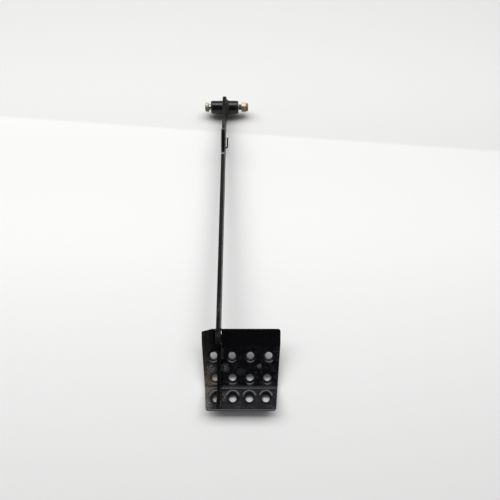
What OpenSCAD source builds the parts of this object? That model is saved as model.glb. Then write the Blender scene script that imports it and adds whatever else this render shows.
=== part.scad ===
// Hanging brake pedal: a plate arm with a pivot tube at its top and a folded, flared foot pad at its end.
// The origin is on the pivot axis, in the middle of the plate. X runs along the pivot bolt, Z is up,
// and the foot presses from +Y.

/* [Arm plate] */
// Thickness of the arm plate
plate_t = 5.5; // [5:0.1:7]
// Radius of the plate's head round the pivot tube
head_r = 17.5; // [16:0.5:20]
// Distance of the arm's front edge from the pivot axis
arm_front = 14.5; // [12:0.5:16]
// Distance of the arm's back edge from the pivot axis
arm_back = 12.4; // [10:0.2:13]
// How far above the pad's upper fold the arm is cut back to its narrow tail
boot_rise = 2.4; // [1:0.1:6]
// Height of the arm's foot that rests on the pad below the upper fold
heel_rise = 6; // [3:0.5:12]
// Straight run of the tail below its inside corner
tail_run = 4; // [2:0.5:8]
// How far the narrow tail stands proud of the pad
tail_proud = 5; // [4:0.5:7]
// How far the tail's tip stands proud at the pad's bottom edge
tip_proud = 2; // [1:0.1:3]
// Distance of the tail's tip from the pad's bottom edge
tip_short = 1.5; // [1:0.1:5]
// Radius of the arm's lower front corner
boot_r = 6; // [3:0.5:9]
// Radius of the inside corner above the tail
tail_r = 5; // [2:0.5:6]

/* [Push rod ear] */
// Depth below the pivot where the ear starts
ear_top = 52; // [46:1:56]
// Depth below the pivot where the ear stands out most
ear_peak = 67; // [64:1:74]
// Depth below the pivot where the ear ends
ear_bottom = 103; // [94:1:112]
// How far the ear stands out from the front edge
ear_out = 9; // [6:0.5:12]
// Diameter of the push rod's pin hole
pin_hole_d = 8.2; // [6:0.1:10]
// Depth of the pin hole below the pivot
pin_hole_drop = 74; // [70:1:80]
// Distance of the pin hole in front of the pivot axis
pin_hole_front = 12; // [9:0.5:14]

/* [Spring hook] */
// Diameter of the hook's rod
hook_d = 2.5; // [2:0.1:3]
// Depth of the hook's foot below the pivot
hook_drop = 79; // [74:1:90]
// Distance of the hook behind the pivot axis
hook_back = 6; // [3:0.5:8]
// Distance of the hook's leg from the face of the plate
hook_reach = 2.9; // [2.6:0.1:5]
// Height of the hook's leg
hook_rise = 20; // [12:1:28]
// Radius of the hook's bend
hook_bend_r = 2.2; // [1.8:0.1:2.4]

/* [Pivot tube] */
// Outer diameter of the pivot tube
tube_od = 21.3; // [20.5:0.1:24]
// Inner diameter of the pivot tube
tube_id = 16; // [15.6:0.1:17]
// Length of the pivot tube
tube_len = 43.7; // [38:0.1:50]
// Width of the bevel at the tube's ends
tube_bevel = 0.6; // [0.3:0.1:1]
// Leg of the fillet weld between tube and plate
tube_weld_leg = 6.2; // [3:0.1:6.6]

/* [Bushings and sleeve] */
// Length of each bushing inside the tube
bush_len = 15; // [10:0.5:18]
// Thickness of each bushing's flange
bush_flange_t = 1.5; // [1:0.1:2]
// Diameter of each bushing's flange
bush_flange_d = 20; // [18:0.1:20.4]
// Outer diameter of the sleeve on the bolt
sleeve_od = 12.7; // [12:0.1:14]
// How far the sleeve stands out at each end
sleeve_proud = 0.5; // [0.2:0.1:1]
// Radial clearance between a bushing and the sleeve
bush_clear = 0.05; // [0.02:0.01:0.1]

/* [Bolt and nut] */
// Diameter of the bolt's shank
bolt_d = 9.5; // [9:0.1:10]
// Length of the bolt under its head
bolt_len = 63.5; // [62:0.5:66]
// Width of the bevel at the bolt's tip
bolt_tip = 1; // [0.5:0.1:1.5]
// Height of the bolt's head
bolt_head_h = 6.3; // [5:0.1:7]
// Width across the flats of head and nut
hex_af = 14.3; // [13:0.1:16]
// Radial clearance round the bolt
bolt_clear = 0.06; // [0.03:0.01:0.1]
// Bare shank between bolt head and sleeve, for the bracket's ear
ear_gap_head = 3.4; // [2.5:0.1:5]
// Bare shank between sleeve and nut, for the bracket's ear
ear_gap_nut = 5; // [3:0.1:6]
// Height of the nut's hexagon
nut_hex_h = 8.4; // [7:0.1:9]
// Height of the nut's round collar
nut_collar_h = 3.2; // [2.5:0.1:4]
// Diameter of the nut's round collar
nut_collar_d = 13; // [12.4:0.1:13.6]
// Wall of the nut's round collar
collar_wall = 1.2; // [0.8:0.1:1.4]
// Height of the collar's rim over the locking ring
collar_rim = 0.8; // [0.6:0.1:1]
// Distance from the flats to the round end faces of head and nut
bevel_inset = 0.35; // [0.2:0.05:0.6]
// Thickness of the plastic locking ring in the nut
lock_ring_t = 2; // [1.5:0.1:2.3]

/* [Foot pad] */
// Thickness of the pad's sheet
sheet_t = 3; // [2:0.1:3.5]
// Inside radius of the pad's bends
bend_r = 3; // [2:0.5:4]
// Distance of the pad's centre from the plate
pad_offset = 31.2; // [28:0.1:34]
// Depth of the upper fold below the pivot
upper_fold_drop = 400.4; // [400:0.1:430]
// Distance of the upper fold behind the pivot axis
upper_fold_back = 14.8; // [14:0.1:18]
// Length of the top flange
flange_len = 26.3; // [20:0.1:30]
// Length of the middle panel
middle_len = 62.6; // [60:0.1:70]
// Length of the bottom panel
bottom_len = 32.4; // [30:0.1:40]
// Tilt of the top flange from vertical
flange_tilt = 45; // [38:1:52]
// Tilt of the middle panel from vertical
middle_tilt = 22; // [16:1:28]
// Tilt of the bottom panel from vertical
bottom_tilt = -27; // [-34:1:-18]
// Width of the pad at the flange's free edge
flange_w = 110.2; // [100:0.1:118]
// Width of the pad at the upper fold
upper_w = 111.6; // [106:0.1:120]
// Width of the pad at the lower fold
lower_w = 103.4; // [99:0.1:112]
// Width of the pad at its bottom edge
bottom_w = 95.9; // [92:0.1:106]
// Radius of the pad's corners
pad_corner_r = 3.5; // [2:0.5:5]
// Width of the flange's bevelled left corner
bevel_w = 15; // [8:1:18]
// Height of the flange's bevelled left corner
bevel_h = 3.4; // [1:0.1:5]
// Gap beside the plate on the slot's left
slot_gap_left = 0.3; // [0.2:0.1:0.6]
// Gap beside the plate on the slot's right
slot_gap_right = 1.3; // [1:0.1:1.8]

/* [Flared holes] */
// Diameter of each flared hole
hole_d = 9.9; // [8:0.1:11]
// Radius at which a flare leaves the sheet
flare_r = 10.4; // [8:0.1:10.6]
// Depth of a flare from the sheet's back to its lip
flare_depth = 6.8; // [5:0.1:9]
// Wall of a flare at its lip
lip_t = 1.7; // [1.2:0.1:2]
// Distance of the outer holes from the pad's side edges
hole_margin = 15.1; // [14.5:0.1:16]
// Holes in each row
holes_across = 4; // [3:1:4]
// Distance of the first row below the upper fold
row1_drop = 18.3; // [17:0.1:20]
// Distance of the second row above the lower fold
row2_rise = 12.2; // [11.5:0.1:14]
// Distance of the third row below the lower fold
row3_drop = 13.9; // [13:0.1:17]
// Diameter of the single plain hole
plain_hole_d = 7; // [4:0.1:8]
// Distance of the plain hole below the upper fold
plain_hole_drop = 32; // [30:0.1:35]
// Distance of the plain hole from the pad's centre
plain_hole_side = 26; // [24:0.1:27]

/* [Pad welds] */
// Leg of the weld beads on the pad
pad_weld_leg = 4.2; // [2.5:0.1:4.6]
// Leg of the bead on the bottom panel
low_bead_leg = 3; // [2:0.1:4.6]
// Length of the long bead at the top of the middle panel
top_bead_len = 16; // [8:0.5:19]
// Length of each short bead at the middle of the panel
short_bead_len = 9; // [5:0.5:12]
// Depth of the short beads below the upper fold
short_bead_drop = 29; // [27:0.5:32]
// Length of the bead on the bottom panel
low_bead_len = 10; // [6:0.5:10.5]
// Depth of the bottom panel's bead below the lower fold
low_bead_drop = 20; // [19:0.5:21]
// Length of the tack at the flange's free edge, in the slot's right gap
tack_len = 3.8; // [2:0.1:5]
// Length of the open stretch of the slot's right gap below the tack
open_len = 6.8; // [4:0.1:9]
// Height of the slot's filler weld over the flange
fill_proud = 0.8; // [0.2:0.1:1.5]

/* [Hidden] */
$fn = 64;

paint = [0.09, 0.09, 0.10];
weld_grey = [0.22, 0.21, 0.20];
zinc = [0.72, 0.74, 0.70];
yellow_zinc = [0.80, 0.66, 0.38];
nylon = [0.13, 0.13, 0.13];

over = 1;
seat_margin = 1;
full_turn = 360;
bend_steps = 6;
flare_steps = 7;
ear_steps = 9;
weld_steps = 5;

plate_half = plate_t / 2;
boot_drop = upper_fold_drop - boot_rise;
stack_half = tube_len / 2 + bush_flange_t;
sleeve_len = 2 * (stack_half + sleeve_proud);
sleeve_id = bolt_d + 2 * bolt_clear;
head_face_x = -(sleeve_len / 2 + ear_gap_head);
nut_face_x = sleeve_len / 2 + ear_gap_nut;
hex_corner_d = hex_af / cos(30);
lock_ring_od = nut_collar_d - 2 * collar_wall;
lock_ring_seat = nut_hex_h + nut_collar_h - collar_rim - lock_ring_t;

// Direction down a panel tilted by a degrees, and its normal on the arm's side
function down(a) = [sin(a), -cos(a)];
function face(a) = [-cos(a), -sin(a)];
function unit(v) = v / norm(v);

// Corners of the pad's back surface, as seen from the side
upper_fold = [upper_fold_back, -upper_fold_drop];
lower_fold = upper_fold + middle_len * down(middle_tilt);
flange_edge = upper_fold - flange_len * down(flange_tilt);
bottom_edge = lower_fold + bottom_len * down(bottom_tilt);

// Centre of the bend at a corner, where the sheet turns from tilt a to tilt b
function bend_centre(corner, a, b) =
    corner - bend_r * tan((a - b) / 2) * down(a) + bend_r * face(a);

// Points round a bend, at a distance from its centre
function bend_arc(corner, a, b, radius) =
    [for (i = [0:bend_steps])
        bend_centre(corner, a, b) - radius * face(a + (b - a) * i / bend_steps)];

function reversed(list) = [for (i = [len(list) - 1:-1:0]) list[i]];

// Arc that rounds corner b, given as [x, y, radius], between its neighbours
function rounding(a, b, c) =
    let (
        p = [b[0], b[1]],
        u = unit([a[0], a[1]] - p),
        v = unit([c[0], c[1]] - p),
        half = acos(u * v) / 2,
        start = p + u * b[2] / tan(half),
        finish = p + v * b[2] / tan(half),
        centre = p + unit(u + v) * b[2] / sin(half),
        from = atan2(start[1] - centre[1], start[0] - centre[0]),
        to = atan2(finish[1] - centre[1], finish[0] - centre[0]),
        sweep = (to - from + 1.5 * full_turn) % full_turn - full_turn / 2
    )
    [for (i = [0:bend_steps])
        centre + b[2] * [cos(from + sweep * i / bend_steps), sin(from + sweep * i / bend_steps)]];

// Outline through corners given as [x, y, radius]
function rounded(corners) =
    let (n = len(corners))
    [for (i = [0:n - 1])
        each (corners[i][2] > 0
            ? rounding(corners[(i + n - 1) % n], corners[i], corners[(i + 1) % n])
            : [[corners[i][0], corners[i][1]]])];

function sharp(points) = [for (p = points) [p[0], p[1], 0]];

// Share of the ear's full height at a depth below the pivot
function ear_share(s) = s < ear_peak
    ? (1 - cos(180 * (s - ear_top) / (ear_peak - ear_top))) / 2
    : (1 + cos(180 * (s - ear_peak) / (ear_bottom - ear_peak))) / 2;

function ear_edge(from, to) =
    [for (i = [0:ear_steps - 1])
        let (s = from + (to - from) * i / ear_steps)
        [-arm_front - ear_out * ear_share(s), -s]];

// Corners of the tail's front edge, its tip on the bottom panel, and the top of its seat on the pad
tail_start = upper_fold + tail_proud * face(middle_tilt)
    + (tail_r + tail_run - boot_rise) * down(middle_tilt);
fold_turn = middle_tilt - bottom_tilt;
tail_knee = lower_fold
    + tail_proud / cos(fold_turn / 2) * unit(face(middle_tilt) + face(bottom_tilt));
tip_seat = bottom_edge - tip_short * down(bottom_tilt);
tip_front = tip_seat + tip_proud * face(bottom_tilt);
seat_start = upper_fold + (bend_r + seat_margin) * down(middle_tilt);

// Lays a drawing made in Y and Z across X, from x0 to x1
module across(x0, x1) {
    translate([x0, 0, 0])
        rotate([90, 0, 90])
            linear_extrude(x1 - x0)
                children();
}

// Turns a solid made along Z so that it lies along X, starting at x0
module along_x(x0) {
    translate([x0, 0, 0])
        rotate([0, 90, 0])
            children();
}

// Moves onto the back surface of a panel: X across, Y up the panel, Z out on the arm's side
module on_panel(corner, tilt) {
    translate([0, corner[0], corner[1]])
        rotate([90 + tilt, 0, 0])
            children();
}

module arm_outline() {
    circle(r = head_r);
    polygon(rounded(concat(
        [[-arm_front, 0, 0]],
        sharp(ear_edge(ear_top, ear_peak)),
        sharp(ear_edge(ear_peak, ear_bottom)),
        [[-arm_front, -ear_bottom, 0]],
        [[-arm_front, -boot_drop, boot_r]],
        [[tail_start[0], tail_start[1], tail_r]],
        [[tail_knee[0], tail_knee[1], tail_r]],
        sharp([tip_front, tip_seat]),
        sharp(reversed(bend_arc(lower_fold, middle_tilt, bottom_tilt, bend_r))),
        [[seat_start[0], seat_start[1], 0]],
        [[arm_back, seat_start[1] + heel_rise, 0]],
        [[arm_back, 0, 0]]
    )));
}

// Laser-cut plate that carries the tube at its head and the pad on its tail
module arm_plate() {
    color(paint)
        difference() {
            across(-plate_half, plate_half)
                arm_outline();
            along_x(-plate_half - over)
                cylinder(d = tube_od, h = plate_t + 2 * over);
            translate([0, -pin_hole_front, -pin_hole_drop])
                along_x(-plate_half - over)
                    cylinder(d = pin_hole_d, h = plate_t + 2 * over);
            translate([0, hook_back, -hook_drop])
                along_x(-plate_half - over)
                    cylinder(d = hook_d, h = plate_t + 2 * over);
        }
}

// Tube through the plate's head, in which the bushings sit
module pivot_tube() {
    inner = tube_id / 2;
    outer = tube_od / 2;
    color(paint)
        along_x(-tube_len / 2)
            rotate_extrude()
                polygon([
                    [inner, 0],
                    [outer - tube_bevel, 0],
                    [outer, tube_bevel],
                    [outer, tube_len - tube_bevel],
                    [outer - tube_bevel, tube_len],
                    [inner, tube_len]
                ]);
}

// Hollow fillet bead round the tube, on the plate's right face
module tube_weld() {
    root = tube_od / 2;
    leg = tube_weld_leg;
    color(weld_grey)
        along_x(plate_half)
            rotate_extrude()
                polygon(concat(
                    [[root, 0]],
                    [for (i = [0:weld_steps])
                        [root + leg - leg * sin(90 * i / weld_steps), leg - leg * cos(90 * i / weld_steps)]]
                ));
}

// Bent rod in the plate that holds the return spring
module spring_hook() {
    leg_x = plate_half + hook_reach;
    color(paint)
        translate([0, hook_back, -hook_drop]) {
            along_x(-plate_half)
                cylinder(d = hook_d, h = leg_x - hook_bend_r + plate_half);
            translate([leg_x - hook_bend_r, 0, hook_bend_r])
                rotate([90, 0, 0])
                    rotate([0, 0, -90])
                        rotate_extrude(angle = 90)
                            translate([hook_bend_r, 0])
                                circle(d = hook_d);
            translate([leg_x, 0, hook_bend_r])
                cylinder(d = hook_d, h = hook_rise - hook_bend_r);
        }
}

// Side view of the folded sheet
module sheet_outline() {
    outer = bend_r + sheet_t;
    polygon(concat(
        [flange_edge],
        bend_arc(upper_fold, flange_tilt, middle_tilt, bend_r),
        bend_arc(lower_fold, middle_tilt, bottom_tilt, bend_r),
        [bottom_edge, bottom_edge - sheet_t * face(bottom_tilt)],
        reversed(bend_arc(lower_fold, middle_tilt, bottom_tilt, outer)),
        reversed(bend_arc(upper_fold, flange_tilt, middle_tilt, outer)),
        [flange_edge - sheet_t * face(flange_tilt)]
    ));
}

// Front view of the pad, a tapered blank with one bevelled top corner
module pad_outline() {
    edge_z = flange_edge[1];
    foot_z = bottom_edge[1] - sheet_t * sin(-bottom_tilt);
    polygon(rounded([
        [flange_w / 2, edge_z, pad_corner_r],
        [upper_w / 2, upper_fold[1], 0],
        [lower_w / 2, lower_fold[1], 0],
        [bottom_w / 2, foot_z, pad_corner_r],
        [-bottom_w / 2, foot_z, pad_corner_r],
        [-lower_w / 2, lower_fold[1], 0],
        [-upper_w / 2, upper_fold[1], 0],
        [-flange_w / 2, edge_z - bevel_h, pad_corner_r / 2],
        [bevel_w - flange_w / 2, edge_z, 0]
    ]));
}

// Quarter ellipse by which a flare turns from the sheet's plane into its hole
function flare_curve(wide, narrow, top, bottom) =
    [for (i = [0:flare_steps])
        let (a = 90 * i / flare_steps)
        [wide - (wide - narrow) * sin(a), top - (top - bottom) * (1 - cos(a))]];

module flare_wall() {
    narrow = hole_d / 2 + lip_t;
    wide = flare_r + lip_t / 2;
    rotate_extrude()
        polygon(concat(
            [[0, -flare_depth], [0, -sheet_t / 2], [wide, -sheet_t / 2]],
            flare_curve(wide, narrow, -sheet_t, -flare_depth)
        ));
}

module flare_bore() {
    narrow = hole_d / 2;
    rotate_extrude()
        polygon(concat(
            [[0, over], [flare_r, over]],
            flare_curve(flare_r, narrow, 0, -flare_depth),
            [[narrow, -flare_depth - over], [0, -flare_depth - over]]
        ));
}

// Puts a child at each hole of one row, where the pad is row_w wide
module hole_row(corner, tilt, drop, row_w) {
    pitch = (row_w - 2 * hole_margin) / (holes_across - 1);
    for (i = [0:holes_across - 1])
        on_panel(corner, tilt)
            translate([pad_offset + (i - (holes_across - 1) / 2) * pitch, -drop, 0])
                children();
}

// Width of the pad at a share of the way down a panel
function width_at(top_w, low_w, share) = top_w + (low_w - top_w) * share;

module all_holes() {
    row2_drop = middle_len - row2_rise;
    hole_row(upper_fold, middle_tilt, row1_drop, width_at(upper_w, lower_w, row1_drop / middle_len))
        children();
    hole_row(upper_fold, middle_tilt, row2_drop, width_at(upper_w, lower_w, row2_drop / middle_len))
        children();
    hole_row(lower_fold, bottom_tilt, row3_drop, width_at(lower_w, bottom_w, row3_drop / bottom_len))
        children();
}

// Folded sheet with a slotted flange and three rows of holes flared towards the foot
module foot_pad() {
    slot_left = -plate_half - slot_gap_left;
    slot_right = plate_half + slot_gap_right;
    reach = upper_w;
    color(paint)
        difference() {
            union() {
                intersection() {
                    across(pad_offset - reach, pad_offset + reach)
                        sheet_outline();
                    translate([pad_offset, reach, 0])
                        rotate([90, 0, 0])
                            linear_extrude(2 * reach)
                                pad_outline();
                }
                all_holes()
                    flare_wall();
            }
            all_holes()
                flare_bore();
            on_panel(upper_fold, middle_tilt)
                translate([pad_offset + plain_hole_side, -plain_hole_drop, -sheet_t - over])
                    cylinder(d = plain_hole_d, h = sheet_t + 2 * over);
            translate([slot_left, -reach, seat_start[1]])
                cube([slot_right - slot_left, 2 * reach, flange_edge[1] - seat_start[1] + sheet_t + over]);
        }
}

// Section of a convex fillet bead with its root at the origin
module bead_section(leg) {
    polygon(concat(
        [[0, 0]],
        [for (i = [0:weld_steps]) leg * [cos(90 * i / weld_steps), sin(90 * i / weld_steps)]]
    ));
}

// Bead along a panel beside the plate, on side 1 for right and -1 for left
module panel_bead(corner, tilt, drop, length, leg, side) {
    color(weld_grey)
        on_panel(corner, tilt)
            translate([side * plate_half, -drop, 0])
                rotate([90, 0, 0])
                    linear_extrude(length)
                        scale_side(side)
                            bead_section(leg);
}

module scale_side(side) {
    if (side > 0)
        children();
    else
        mirror([1, 0, 0])
            children();
}

module pad_weld_top() {
    panel_bead(upper_fold, middle_tilt, bend_r + 2 * seat_margin, top_bead_len, pad_weld_leg, 1);
}

module pad_weld_left() {
    panel_bead(upper_fold, middle_tilt, short_bead_drop, short_bead_len, pad_weld_leg, -1);
}

module pad_weld_right() {
    panel_bead(upper_fold, middle_tilt, short_bead_drop, short_bead_len, pad_weld_leg, 1);
}

module pad_weld_bottom() {
    panel_bead(lower_fold, bottom_tilt, low_bead_drop, low_bead_len, low_bead_leg, 1);
}

// Tack that closes the slot's right gap at the flange's free edge
module slot_tack() {
    color(weld_grey)
        on_panel(flange_edge, flange_tilt)
            translate([plate_half, -tack_len, -sheet_t])
                cube([slot_gap_right, tack_len, sheet_t]);
}

// Weld that fills the rest of the slot's right gap down to the upper bend
module slot_weld() {
    bend_run = bend_r * tan((flange_tilt - middle_tilt) / 2);
    top = tack_len + open_len;
    color(weld_grey)
        on_panel(flange_edge, flange_tilt)
            translate([plate_half, bend_run - flange_len, -sheet_t])
                cube([slot_gap_right, flange_len - bend_run - top, sheet_t + fill_proud]);
}

// Flanged bushing with its flange at the origin's side, lying along X
module bushing() {
    bore = sleeve_od / 2 + bush_clear;
    rotate_extrude()
        polygon([
            [bore, 0],
            [bush_flange_d / 2, 0],
            [bush_flange_d / 2, bush_flange_t],
            [tube_id / 2, bush_flange_t],
            [tube_id / 2, bush_flange_t + bush_len],
            [bore, bush_flange_t + bush_len]
        ]);
}

module bushing_left() {
    color(nylon)
        along_x(-stack_half)
            bushing();
}

module bushing_right() {
    color(nylon)
        mirror([1, 0, 0])
            along_x(-stack_half)
                bushing();
}

// Steel sleeve that the bolt clamps and the bushings turn on
module pivot_sleeve() {
    color(zinc)
        along_x(-sleeve_len / 2)
            difference() {
                cylinder(d = sleeve_od, h = sleeve_len);
                translate([0, 0, -over])
                    cylinder(d = sleeve_id, h = sleeve_len + 2 * over);
            }
}

// Hexagon with both ends bevelled at 30 degrees by cones
module bevelled_hex(height) {
    face_r = hex_af / 2 - bevel_inset;
    wide_r = hex_corner_d / 2 + over;
    bevel = (wide_r - face_r) * tan(30);
    intersection() {
        rotate([0, 0, 90])
            cylinder(d = hex_corner_d, h = height, $fn = 6);
        rotate_extrude()
            polygon([
                [0, 0],
                [face_r, 0],
                [wide_r, bevel],
                [wide_r, height - bevel],
                [face_r, height],
                [0, height]
            ]);
    }
}

// Hexagon bolt on which the pedal turns
module pivot_bolt() {
    color(zinc)
        union() {
            along_x(head_face_x - bolt_head_h)
                bevelled_hex(bolt_head_h);
            along_x(head_face_x)
                rotate_extrude()
                    polygon([
                        [0, 0],
                        [bolt_d / 2, 0],
                        [bolt_d / 2, bolt_len - bolt_tip],
                        [bolt_d / 2 - bolt_tip, bolt_len],
                        [0, bolt_len]
                    ]);
        }
}

// Nut with a round collar that holds the locking ring
module lock_nut() {
    bore_r = bolt_d / 2 + bolt_clear;
    total = nut_hex_h + nut_collar_h;
    rim_r = nut_collar_d / 2 - collar_rim;
    color(yellow_zinc)
        along_x(nut_face_x)
            difference() {
                union() {
                    bevelled_hex(nut_hex_h);
                    rotate_extrude()
                        polygon([
                            [0, nut_hex_h - over],
                            [nut_collar_d / 2, nut_hex_h - over],
                            [nut_collar_d / 2, total - collar_rim],
                            [rim_r, total],
                            [0, total]
                        ]);
                }
                translate([0, 0, -over])
                    cylinder(r = bore_r, h = total + 2 * over);
                translate([0, 0, lock_ring_seat])
                    cylinder(d = lock_ring_od, h = lock_ring_t);
            }
}

// Plastic ring that grips the bolt's thread
module lock_ring() {
    color(nylon)
        along_x(nut_face_x + lock_ring_seat)
            difference() {
                cylinder(d = lock_ring_od, h = lock_ring_t);
                translate([0, 0, -over])
                    cylinder(r = bolt_d / 2 + bolt_clear, h = lock_ring_t + 2 * over);
            }
}

arm_plate();
pivot_tube();
tube_weld();
spring_hook();
foot_pad();
pad_weld_top();
pad_weld_left();
pad_weld_right();
pad_weld_bottom();
slot_tack();
slot_weld();
bushing_left();
bushing_right();
pivot_sleeve();
pivot_bolt();
lock_nut();
lock_ring();
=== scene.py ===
"""Brake pedal: the looks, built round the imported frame.

The frame's origin is on the pivot axis in the arm's mid-plane. X runs along the pivot bolt, Z is up
and the foot presses from +Y. All lengths are metres.
"""
import logging
import math
from dataclasses import dataclass
from enum import Enum
from typing import Any, Sequence

import bmesh
import bpy
from mathutils import Matrix, Vector


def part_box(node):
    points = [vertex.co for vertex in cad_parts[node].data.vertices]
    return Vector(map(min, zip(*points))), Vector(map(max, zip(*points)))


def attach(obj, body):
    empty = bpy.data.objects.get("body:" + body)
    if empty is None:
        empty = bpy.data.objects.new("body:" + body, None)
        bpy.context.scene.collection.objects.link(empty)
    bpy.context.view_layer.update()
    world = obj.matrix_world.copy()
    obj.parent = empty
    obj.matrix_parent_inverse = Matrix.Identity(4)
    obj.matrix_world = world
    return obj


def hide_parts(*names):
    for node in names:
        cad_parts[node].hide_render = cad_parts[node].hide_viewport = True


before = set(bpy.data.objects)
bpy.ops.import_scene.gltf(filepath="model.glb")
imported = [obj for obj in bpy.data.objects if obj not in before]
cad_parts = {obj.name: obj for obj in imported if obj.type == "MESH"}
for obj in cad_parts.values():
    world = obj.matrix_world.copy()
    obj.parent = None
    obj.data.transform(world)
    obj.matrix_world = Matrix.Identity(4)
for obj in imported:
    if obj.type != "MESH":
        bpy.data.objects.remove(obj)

LOG = logging.getLogger("brake_pedal")
MERGE_REACH = 1e-6
FLAT_ANGLE = 0.01
SMOOTH_ANGLE = math.radians(35)
BEVEL_SEGMENTS = 2
EDGE_SAMPLES = 6

Colour = tuple[float, float, float]
Point = tuple[float, float, float]
Levels = tuple[float, float]


class Body(str, Enum):
    """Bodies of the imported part."""

    PIVOT = "pivot"
    PEDAL = "pedal"


class Slot(str, Enum):
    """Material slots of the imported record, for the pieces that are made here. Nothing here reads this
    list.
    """

    ARM = "arm_paint"
    PAD = "pad_paint"
    WELD = "weld_metal"
    BOLT = "bolt_zinc"
    NUT = "nut_zinc"


class Wire:
    """A node socket that takes part in Python expressions."""

    def __init__(self, kit: "NodeKit", socket: bpy.types.NodeSocket) -> None:
        """Args:
            socket: An output socket.
        """
        self.kit = kit
        self.socket = socket

    @property
    def is_vector(self) -> bool:
        """Say whether the socket carries a vector."""
        return self.socket.type == "VECTOR"

    def _combine(self, operation: str, *operands: Any) -> "Wire":
        """Add a Math or Vector Math node over the operands.

        Args:
            operation: The node's operation.
            operands: Wires, numbers or points, in the node's order.

        Returns:
            The node's result.
        """
        vector = any(isinstance(o, Wire) and o.is_vector for o in operands)
        kind = "ShaderNodeVectorMath" if vector else "ShaderNodeMath"
        sockets = {}
        for index, operand in enumerate(operands):
            plain = isinstance(operand, (int, float))
            sockets[index] = (operand,) * 3 if vector and plain else operand
        return self.kit.node(kind, {"operation": operation}, sockets)

    def __add__(self, other: Any) -> "Wire":
        """Return self + other."""
        return self._combine("ADD", self, other)

    def __radd__(self, other: Any) -> "Wire":
        """Return other + self."""
        return self._combine("ADD", other, self)

    def __sub__(self, other: Any) -> "Wire":
        """Return self - other."""
        return self._combine("SUBTRACT", self, other)

    def __rsub__(self, other: Any) -> "Wire":
        """Return other - self."""
        return self._combine("SUBTRACT", other, self)

    def __mul__(self, other: Any) -> "Wire":
        """Return self * other."""
        return self._combine("MULTIPLY", self, other)

    def __rmul__(self, other: Any) -> "Wire":
        """Return other * self."""
        return self._combine("MULTIPLY", other, self)

    def __truediv__(self, other: Any) -> "Wire":
        """Return self / other."""
        return self._combine("DIVIDE", self, other)

    def __rtruediv__(self, other: Any) -> "Wire":
        """Return other / self."""
        return self._combine("DIVIDE", other, self)

    def __pow__(self, other: Any) -> "Wire":
        """Return self to the power of other."""
        return self._combine("POWER", self, other)

    def __rpow__(self, other: Any) -> "Wire":
        """Return other to the power of self."""
        return self._combine("POWER", other, self)

    def __abs__(self) -> "Wire":
        """Return the absolute value."""
        return self._combine("ABSOLUTE", self)

    def at_least(self, other: Any) -> "Wire":
        """Return the larger of self and other."""
        return self._combine("MAXIMUM", self, other)

    def at_most(self, other: Any) -> "Wire":
        """Return the smaller of self and other."""
        return self._combine("MINIMUM", self, other)

    def fraction(self) -> "Wire":
        """Return the fractional part."""
        return self._combine("FRACT", self)

    def cosine(self) -> "Wire":
        """Return the cosine of an angle in radians."""
        return self._combine("COSINE", self)

    def scaled(self, factor: "Wire") -> "Wire":
        """Return the vector times a number."""
        settings = {"operation": "SCALE"}
        return self.kit.node("ShaderNodeVectorMath", settings, {0: self, "Scale": factor})

    def other(self, output: str) -> "Wire":
        """Return another output of the same node."""
        return Wire(self.kit, self.socket.node.outputs[output])

    def dot(self, other: Any) -> "Wire":
        """Return the dot product with a point or vector."""
        settings = {"operation": "DOT_PRODUCT"}
        return self.kit.node("ShaderNodeVectorMath", settings, {0: self, 1: other}, "Value")

    def distance(self, other: Any) -> "Wire":
        """Return the distance to a point or vector."""
        settings = {"operation": "DISTANCE"}
        return self.kit.node("ShaderNodeVectorMath", settings, {0: self, 1: other}, "Value")

    def step(self, low: float, high: float) -> "Wire":
        """Rise smoothly from 0 to 1.

        Args:
            low: Value at which the step starts.
            high: Value at which it is complete; below low, the step falls instead.

        Returns:
            The step's value, from 0 to 1.
        """
        ends = {"From Min": low, "From Max": high}
        if high < low:
            ends = {"From Min": high, "From Max": low, "To Min": 1.0, "To Max": 0.0}
        settings = {"interpolation_type": "SMOOTHSTEP"}
        return self.kit.node("ShaderNodeMapRange", settings, {"Value": self, **ends}, "Result")


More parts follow.
